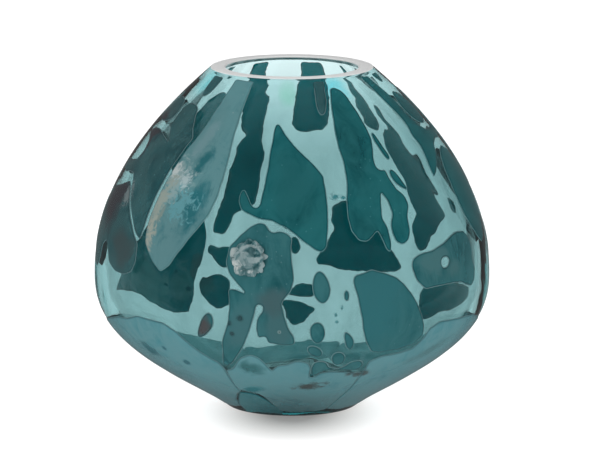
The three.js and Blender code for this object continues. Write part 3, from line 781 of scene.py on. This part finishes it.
def outerLoops(node):
    # the loops round the outer sheet of a chip's CAD solid, unrolled
    mesh = bmesh.new()
    mesh.from_mesh(node.data)
    bmesh.ops.remove_doubles(mesh, verts=mesh.verts, dist=0.00001)
    mesh.faces.index_update()
    mesh.verts.index_update()
    mesh.normal_update()
    sheet = []
    for face in mesh.faces:
        centre = face.calc_center_median()
        slope = float(wallSlope(centre.z))
        outward = Vector((centre.x, centre.y, -slope * math.hypot(centre.x, centre.y))).normalized()
        if face.normal.dot(outward) > facesOut:
            sheet.append(face)
    follow = {}
    inSheet = {face.index for face in sheet}
    for face in sheet:
        for loop in face.loops:
            beyond = [other for other in loop.edge.link_faces if other is not face]
            if not beyond or beyond[0].index not in inSheet:
                follow.setdefault(loop.vert.index, []).append(loop.link_loop_next.vert.index)
    mesh.verts.ensure_lookup_table()
    loops = []
    while follow:
        start = next(iter(follow))
        chain, here = [], start
        while here in follow:
            chain.append(here)
            ways = follow[here]
            there = ways.pop()
            if not ways:
                del follow[here]
            here = there
        if len(chain) >= fewestCorners:
            loops.append(np.array([mesh.verts[i].co[:] for i in chain]))
    mesh.free()
    return [unroll(reachEnds(ontoSmoothWall(loop))) for loop in loops]


def reachEnds(points):
    # chips cut off near the lip or the foot run on to its edge
    z = points[:, 2]
    for start, fixedEnd, newEnd in (lipReach, footReach):
        share = (z - start) / (fixedEnd - start)
        z = np.where(share > 0, start + share * (newEnd - start), z)
    moved = points * (wallRadius(z) / wallRadius(points[:, 2]))[:, None]
    return np.column_stack([moved[:, :2], z])


def ontoSmoothWall(points):
    # slides points along their line from the chips' common centre to the smooth wall
    centre = blownForm["bellyHeight"]
    radius = np.hypot(points[:, 0], points[:, 1])
    low, high = np.full(len(points), 0.9), np.full(len(points), 1.1)
    for _ in range(24):
        middle = (low + high) / 2
        inside = wallRadius(centre + (points[:, 2] - centre) * middle) > radius * middle
        low, high = np.where(inside, middle, low), np.where(inside, high, middle)
    scale = low[:, None]
    offset = np.array([0, 0, centre])
    return (points - offset) * scale + offset


def unwrapTurns(loop):
    loop = loop.copy()
    loop[:, 0] = np.unwrap(loop[:, 0])
    return loop


def resample(loop, step):
    closed = np.vstack([loop, loop[:1]])
    lengths = np.hypot(*np.diff(closed, axis=0).T) * radiusAt((closed[1:] + closed[:-1]) / 2)
    along = np.concatenate([[0], np.cumsum(lengths)])
    count = max(12, int(along[-1] / step))
    at = np.linspace(0, along[-1], count, endpoint=False)
    return np.column_stack([np.interp(at, along, closed[:, k]) for k in (0, 1)])


def soften(loop, rounds):
    for i in range(rounds):
        for weight in (0.5, -0.52):
            middle = (np.roll(loop, 1, axis=0) + np.roll(loop, -1, axis=0)) / 2
            loop = loop + weight * (middle - loop)
    return loop


def alongLoop(loop):
    along = np.roll(loop, -1, axis=0) - np.roll(loop, 1, axis=0)
    return along / np.maximum(np.hypot(along[:, 0], along[:, 1]), 1e-9)[:, None]


def noiseOver(places, scale, seed):
    return np.array([noise.noise(Vector((x * scale + seed, y * scale, z * scale))) for x, y, z in places])


def wander(loop, c, seed):
    # melted edges wander a little, and torn ones are ragged as well
    along = alongLoop(loop)
    out = np.column_stack([along[:, 1], -along[:, 0]])
    where = ontoWall(loop, np.zeros(len(loop)))
    shift = c["wander"] * noiseOver(where, c["wanderScale"], seed)
    shift = shift + c["torn"] * noiseOver(where, c["tornScale"], seed)
    return loop + out * ((shift + c["grow"]) / radiusAt(loop))[:, None]


seamBuild = {
    "turns": (math.pi / 2, -math.pi / 2, 3 * math.pi / 2),
    "waves": ((0.03, 260, 0), (0.022, 610, 1)),
    "reach": 0.045,
    "fade": 0.07,
    "overlap": 0.024,
}


def closeSeams(loop):
    # the skirt chips meet at both sides in a wavy line
    turn = loop[:, 0]
    height = np.interp(loop[:, 1], tableUp, tableZ)
    wave = sum(size * np.sin(height * rate + start) for size, rate, start in seamBuild["waves"])
    moved = turn.copy()
    for seam in seamBuild["turns"]:
        away = turn - seam
        near = np.clip(1 - (np.abs(away) - seamBuild["reach"]) / seamBuild["fade"], 0, 1)
        moved += near * (wave - seamBuild["overlap"] * np.sign(away))
    return np.column_stack([moved, loop[:, 1]])


def insideLoops(points, loops):
    inside = np.zeros(len(points), dtype=bool)
    for loop in loops:
        x0, y0 = loop[:, 0], loop[:, 1]
        x1, y1 = np.roll(x0, -1), np.roll(y0, -1)
        for a, b, c, d in zip(x0, y0, x1, y1):
            if b != d:
                crosses = ((b > points[:, 1]) != (d > points[:, 1]))
                side = points[:, 0] < (c - a) * (points[:, 1] - b) / (d - b) + a
                inside ^= crosses & side
    return inside


def edgeDistance(points, loops):
    # metres from each point to the nearest outline, worked out for some points at a time
    batch = 2000
    best = np.full(len(points), np.inf)
    for loop in loops:
        run = np.roll(loop, -1, axis=0) - loop
        square = np.maximum((run ** 2).sum(axis=1), 1e-18)
        for low in range(0, len(points), batch):
            part = points[low:low + batch]
            away = part[:, None, :] - loop[None, :, :]
            share = np.clip((away * run[None]).sum(axis=2) / square[None], 0, 1)
            gap = away - share[..., None] * run[None]
            nearest = np.sqrt((gap ** 2).sum(axis=2)).min(axis=1)
            best[low:low + batch] = np.minimum(best[low:low + batch], nearest)
    return best * radiusAt(points)


def chipOutlines(name, nodeName, outline, c, seed):
    # from a CAD chip, or from turns and levels of its own
    if outline:
        loops = [unroll(np.array([onWallAt(*corner) for corner in outline]))]
    else:
        loops = [unwrapTurns(loop) for loop in outerLoops(nodes[nodeName])]
    for i, loop in enumerate(loops):
        loop = soften(resample(loop, c["outlineStep"]), c["softenRounds"])
        loop = wander(loop, c, seed)
        if name.startswith("skirt"):
            loop = closeSeams(loop)
        loops[i] = resample(loop, c["outlineStep"])
    for loop in loops[1:]:
        loop[:, 0] += math.tau * round((loops[0][:, 0].mean() - loop[:, 0].mean()) / math.tau)
    return loops


def ringPoints(loops, c):
    # rows of points close inside every outline, so that the edge can be rounded
    rows = []
    for loop in loops:
        along = alongLoop(loop)
        inward = np.column_stack([-along[:, 1], along[:, 0]])
        for k, ring in enumerate(c["rings"]):
            for side in (1, -1):
                row = loop + side * inward * (ring / radiusAt(loop))[:, None]
                if k % 2:
                    row = (row + np.roll(row, 1, axis=0)) / 2
                good = insideLoops(row, loops)
                good &= edgeDistance(row, loops) > c["ringShare"] * ring
                rows.append(row[good])
    return rows


def gridPoints(loops, c, middle):
    # a triangle grid over the rest
    everyPoint = np.vstack(loops)
    cell = c["grid"] / middle
    rowStep = cell * 0.866
    low, high = everyPoint.min(axis=0), everyPoint.max(axis=0)
    rows = int((high[1] - low[1]) / rowStep) + 1
    columns = int((high[0] - low[0]) / cell) + 2
    grid = np.array([(low[0] + (i + 0.5 * (j % 2)) * cell, low[1] + j * rowStep)
                     for j in range(rows) for i in range(columns)])
    grid = grid[insideLoops(grid, loops)]
    return grid[edgeDistance(grid, loops) > c["rings"][-1] + c["gridGap"]]


def fillOutlines(loops, c):
    points, edges = [], []
    for loop in loops:
        first = len(points)
        points += [tuple(p) for p in loop]
        edges += [(first + i, first + (i + 1) % len(loop)) for i in range(len(loop))]
    middle = float(radiusAt(np.vstack(loops)).mean())
    points += [tuple(p) for p in np.vstack([*ringPoints(loops, c), gridPoints(loops, c, middle)])]
    # the triangulation is done on about millimetre numbers, which it handles best
    big = 1000 * middle
    tolerance = 0.001
    corners = [Vector((x * big, y * big)) for x, y in points]
    verts, _, faces, _, _, _ = delaunay_2d_cdt(corners, edges, [], 0, tolerance)
    flat = np.array([(v.x / big, v.y / big) for v in verts])
    faces = np.array([tuple(f) for f in faces])
    faces = faces[insideLoops(flat[faces].mean(axis=1), loops)]
    a, b, d = flat[faces[:, 0]], flat[faces[:, 1]], flat[faces[:, 2]]
    area = (b[:, 0] - a[:, 0]) * (d[:, 1] - a[:, 1]) - (b[:, 1] - a[:, 1]) * (d[:, 0] - a[:, 0])
    faces[area < 0] = faces[area < 0][:, ::-1]
    used = np.unique(faces)
    renumber = np.full(len(flat), -1)
    renumber[used] = np.arange(len(used))
    return flat[used], renumber[faces]


def closedPlate(name, top, under, faces):
    count = len(top)
    sides = [(face[i], face[(i + 1) % 3]) for face in faces for i in range(3)]
    known = set(sides)
    rim = [(i, j) for i, j in sides if (j, i) not in known]
    shell = [tuple(f) for f in faces] + [tuple(count + f[::-1]) for f in faces]
    shell += [(j, i, count + i, count + j) for i, j in rim]
    return pieceFromMesh(name, np.vstack([top, under]), shell)


def makeChip(name, nodeName, material, changes=None, outline=None, insideFinish=None):
    c = {**chipBuild, **(changes or {})}
    seed = sum(ord(letter) * (i + 1) for i, letter in enumerate(name)) % 97
    loops = chipOutlines(name, nodeName, outline, c, seed)
    flat, faces = fillOutlines(loops, c)
    distance = edgeDistance(flat, loops)
    share = np.clip(distance / c["edgeWidth"], 0, 1)
    dome = c["relief"] * np.sqrt(1 - (1 - share) ** 2)
    onSkin = ontoWall(flat, np.zeros(len(flat)))
    lumps = c["lumps"] * noiseOver(onSkin, c["lumpScale"], seed)
    top = ontoWall(flat, dome + lumps * share - c["edgeSunkShare"] * c["sunk"] * (1 - share))
    under = ontoWall(flat, np.full(len(flat), -c["sunk"]))
    chip = closedPlate(name, top, under, faces)
    chip.data.materials.append(chipMaterials[material])
    chip.data.materials.append(chipMaterials[insideFinish or material])
    for face in chip.data.polygons[len(faces):2 * len(faces)]:
        face.material_index = 1
    fromEdge = chip.data.attributes.new("fromEdge", "FLOAT", "POINT")
    # where a chip runs up to the lip or the foot, its end is cut and not melted
    atLip = onSkin[:, 2] > lipReach[1] - cutMargin["lip"]
    atFoot = onSkin[:, 2] < footReach[1] - cutMargin["foot"]
    millimetres = np.where(atLip | atFoot, c["edgeWidth"] * cutMargin["widths"], distance) * 1000
    fromEdge.data.foreach_set("value", np.tile(millimetres, 2).astype(np.float32))
    chip.data.shade_smooth()
    if nodeName:
        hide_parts(nodeName)
    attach(chip, "root")
    return chip


# which pieces have another finish than plain teal, and the slot that it belongs to
otherFinish = {
    "cloudyChip": ("cloudy_chip", ["cloud_leaf"]),
    "figureChip": ("teal_chip", ["figure", "leaf_low_left", "oval_upper", "oval_lower", "oval_low_right",
                                 "dot", "leaf_tiny", "band_low", "cloud_right"]),
    "duskyChip": ("teal_chip", ["brow_left", "drip_left", "lobe_left", "lobe_low_left", "side_leaf_left",
                                "side_drop_left", "rim_tongue_front"]),
    "smokyChip": ("smoky_chip", ["skirt_left", "skirt_mid", "skirt_right"]),
    "hazeChip": ("smoky_chip", ["skirt_back_right", "skirt_back_mid", "skirt_back_left"]),
}
finishOf = {node: (finish, slot) for finish, (slot, group) in otherFinish.items() for node in group}
finishOf["oval_pale"] = finishOf["lobe_low_right"] = ("figureChip", "smoky_chip")
tornEdge = {"wander": 0.0009, "torn": 0.0006}
wideSkirt = {"grow": 0.0014}
facesMade = 0
for nodeName in sorted(nodes):
    if nodeName in ("body", "blister"):
        continue
    changes = wideSkirt if nodeName.startswith("skirt") else {}
    finish, slot = finishOf.get(nodeName, ("tealChip", "teal_chip"))
    inner = "smokyInside" if nodeName.startswith("skirt") else None
    if nodeName.startswith("back_") or nodeName == "rim_tab_left":
        finish, slot, changes, inner = "backChip", "teal_chip", tornEdge, "backInside"
    chip = makeChip(nodeName + "_glass", nodeName, finish, changes, insideFinish=inner)
    facesMade += len(chip.data.polygons)
# turn in degrees and level in per cent of each corner
footLens = [[-26.4, 9.6], [-30, 7.8], [-36, 5.2], [-42, 3.2], [-43, 0.9], [-30, 0.9], [-18, 0.9], [-7, 0.9],
            [-8, 3.4], [-11.6, 4.8], [-14.2, 7], [-17, 8.8], [-20.6, 9.6]]
makeChip("skirt_lens_glass", None, "lensChip", {"wander": 0.0}, footLens)
print("chips laid on the wall,", facesMade, "faces")

# the blister

blisterBuild = {
    "turn": math.radians(-12.6),
    "height": 0.534 * blownForm["height"],
    "halfWidth": 0.0112,
    "halfHeight": 0.0114,
    "rise": 0.005,
    "wrinkle": 0.24,
    "swell": 0.5,
    "bubbleScale": 1.9,
    "bubblesFrom": (3.1, 0.4, 1.7),
    "creaseDepth": 0.96,
    "foldScale": 2.6,
    "foldsFrom": (0.2, 5.1, 0.7),
    "foldDepth": 0.9,
}


def makeBlister():
    b = blisterBuild
    onlySelect(None)
    bpy.ops.mesh.primitive_ico_sphere_add(subdivisions=6, radius=1)
    blister = bpy.context.object
    blister.name = blister.data.name = "blister_glass"
    flatCentre = np.array([[b["turn"], np.interp(b["height"], tableZ, tableUp)]])
    radius = float(wallRadius(b["height"]))
    for vertex in blister.data.vertices:
        p = vertex.co.copy()
        nearest = noise.voronoi(p * b["bubbleScale"] + Vector(b["bubblesFrom"]))[0]
        crease = (1 - min(1, nearest[1] - nearest[0])) ** 2
        fold = noise.noise(p * b["foldScale"] + Vector(b["foldsFrom"]))
        p *= 1 + b["wrinkle"] * (b["swell"] - b["creaseDepth"] * crease + b["foldDepth"] * fold)
        flat = flatCentre + np.array([[p.x * b["halfWidth"] / radius, p.z * b["halfHeight"] / radius]])
        vertex.co = Vector(ontoWall(flat, np.array([-p.y * b["rise"]]))[0])
    blister.data.materials.append(chipMaterials["blisterGlass"])
    blister.data.shade_smooth()
    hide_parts("blister")
    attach(blister, "root")
    return blister


blister = makeBlister()
print("blister made")

# floor, light and camera

studio = {
    "floorSize": 14.0,
    "floorWhite": 0.36,
    "paperGrain": 400.0,
    # the floor glows evenly white, and round the foot the glow is painted darker as a painted shadow, centred
    # a little in front of the foot
    "shadowCentre": (0, -0.034, 0),
    "shadowSize": (0.062, 0.1, 1),
    "glowAndPaintedShadow": [(0.0, (0.2, 0.195, 0.19)), (0.22, (0.22, 0.21, 0.205)), (0.38, (0.38, 0.37, 0.36)),
             (0.6, (0.62, 0.61, 0.6)), (0.82, (0.84, 0.835, 0.83)), (0.98, (0.95, 0.95, 0.95))],
    "seenSky": 1.0,
    "mirroredSky": 0.12,
    "litSky": 0.45,
    "lightAim": (0, 0, 0.1),
    "cameraDistance": 4.0,
    "cameraElevation": math.radians(10.3),
    "cameraAim": (0.0019, 0, 0.1075),
    "lens": 386.6,
    "sensor": 36,
}


def makeFloor():
    onlySelect(None)
    bpy.ops.mesh.primitive_plane_add(size=studio["floorSize"])
    floor = bpy.context.object
    floor.name = "floor"
    material, tree, shader, output = newMaterial("palePaper")
    place = tree.nodes.new("ShaderNodeTexCoord")
    grain = addNoise(tree, place.outputs["Object"], studio["paperGrain"], 2.0, 0.5)
    white = studio["floorWhite"]
    colours = greyRamp(tree, grain.outputs[0], [(0.3, white - 0.01), (0.7, white)])
    tree.links.new(colours.outputs[0], shader.inputs["Base Color"])
    # painted shadow: the floor's glow falls off towards the foot, by distance from the shadow's centre
    fit = addNode(tree, "ShaderNodeMapping", vector_type="TEXTURE", Location=studio["shadowCentre"],
                  Scale=studio["shadowSize"])
    tree.links.new(place.outputs["Object"], fit.inputs["Vector"])
    away = addNode(tree, "ShaderNodeVectorMath", operation="LENGTH")
    tree.links.new(fit.outputs[0], away.inputs[0])
    shade = ramp(tree, away.outputs["Value"], studio["glowAndPaintedShadow"])
    tree.links.new(shade.outputs[0], shader.inputs["Emission Color"])
    setValues(shader, Roughness=0.9, Specular_IOR_Level=0.0, Emission_Strength=1.0)
    floor.data.materials.append(material)
    floor.visible_glossy = False
    return floor


def makeWorld():
    world = bpy.data.worlds.new("studio")
    bpy.context.scene.world = world
    world.use_nodes = True
    tree = world.node_tree
    tree.nodes.clear()
    output = tree.nodes.new("ShaderNodeOutputWorld")
    sky = addNode(tree, "ShaderNodeBackground", Color=(1, 1, 1, 1))
    path = tree.nodes.new("ShaderNodeLightPath")
    mirrored = addNode(tree, "ShaderNodeMix", data_type="FLOAT")
    mirrored.inputs["A"].default_value = studio["seenSky"]
    mirrored.inputs["B"].default_value = studio["mirroredSky"]
    tree.links.new(path.outputs["Is Reflection Ray"], mirrored.inputs["Factor"])
    lit = addNode(tree, "ShaderNodeMix", data_type="FLOAT")
    tree.links.new(mirrored.outputs["Result"], lit.inputs["A"])
    lit.inputs["B"].default_value = studio["litSky"]
    tree.links.new(path.outputs["Is Diffuse Ray"], lit.inputs["Factor"])
    tree.links.new(lit.outputs["Result"], sky.inputs["Strength"])
    tree.links.new(sky.outputs[0], output.inputs["Surface"])


softboxes = {
    "keyLeft": {"at": (-1.6, -1.9, 1.5), "size": (0.7, 1.5), "power": 18},
    "fillRight": {"at": (1.9, -1.4, 1.2), "size": (0.9, 1.4), "power": 8},
    "overhead": {"at": (0.0, -0.2, 2.6), "size": (1.8, 1.4), "power": 14},
}


def makeLights():
    for name, box in softboxes.items():
        light = bpy.data.lights.new(name, "AREA")
        light.shape = "RECTANGLE"
        light.size, light.size_y = box["size"]
        light.energy = box["power"]
        lamp = bpy.data.objects.new(name, light)
        bpy.context.scene.collection.objects.link(lamp)
        lamp.location = box["at"]
        towards = Vector(studio["lightAim"]) - Vector(box["at"])
        lamp.rotation_euler = towards.to_track_quat("-Z", "Y").to_euler()
        lamp.visible_camera = False
        lamp.visible_transmission = False
        lamp.visible_glossy = False


def makeCamera():
    data = bpy.data.cameras.new("camera")
    camera = bpy.data.objects.new("camera", data)
    bpy.context.scene.collection.objects.link(camera)
    aim = Vector(studio["cameraAim"])
    rise, away = math.sin(studio["cameraElevation"]), math.cos(studio["cameraElevation"])
    camera.location = aim + studio["cameraDistance"] * Vector((0, -away, rise))
    camera.rotation_euler = (aim - camera.location).to_track_quat("-Z", "Y").to_euler()
    data.sensor_width = studio["sensor"]
    data.lens = studio["lens"]
    data.clip_end = 100
    bpy.context.scene.camera = camera


makeFloor()
makeWorld()
makeLights()
makeCamera()
scene = bpy.context.scene
scene.view_settings.view_transform = "Standard"
scene.view_settings.look = "None"
scene.cycles.max_bounces = 20
scene.cycles.transmission_bounces = 16
scene.cycles.glossy_bounces = 6
print("studio ready")
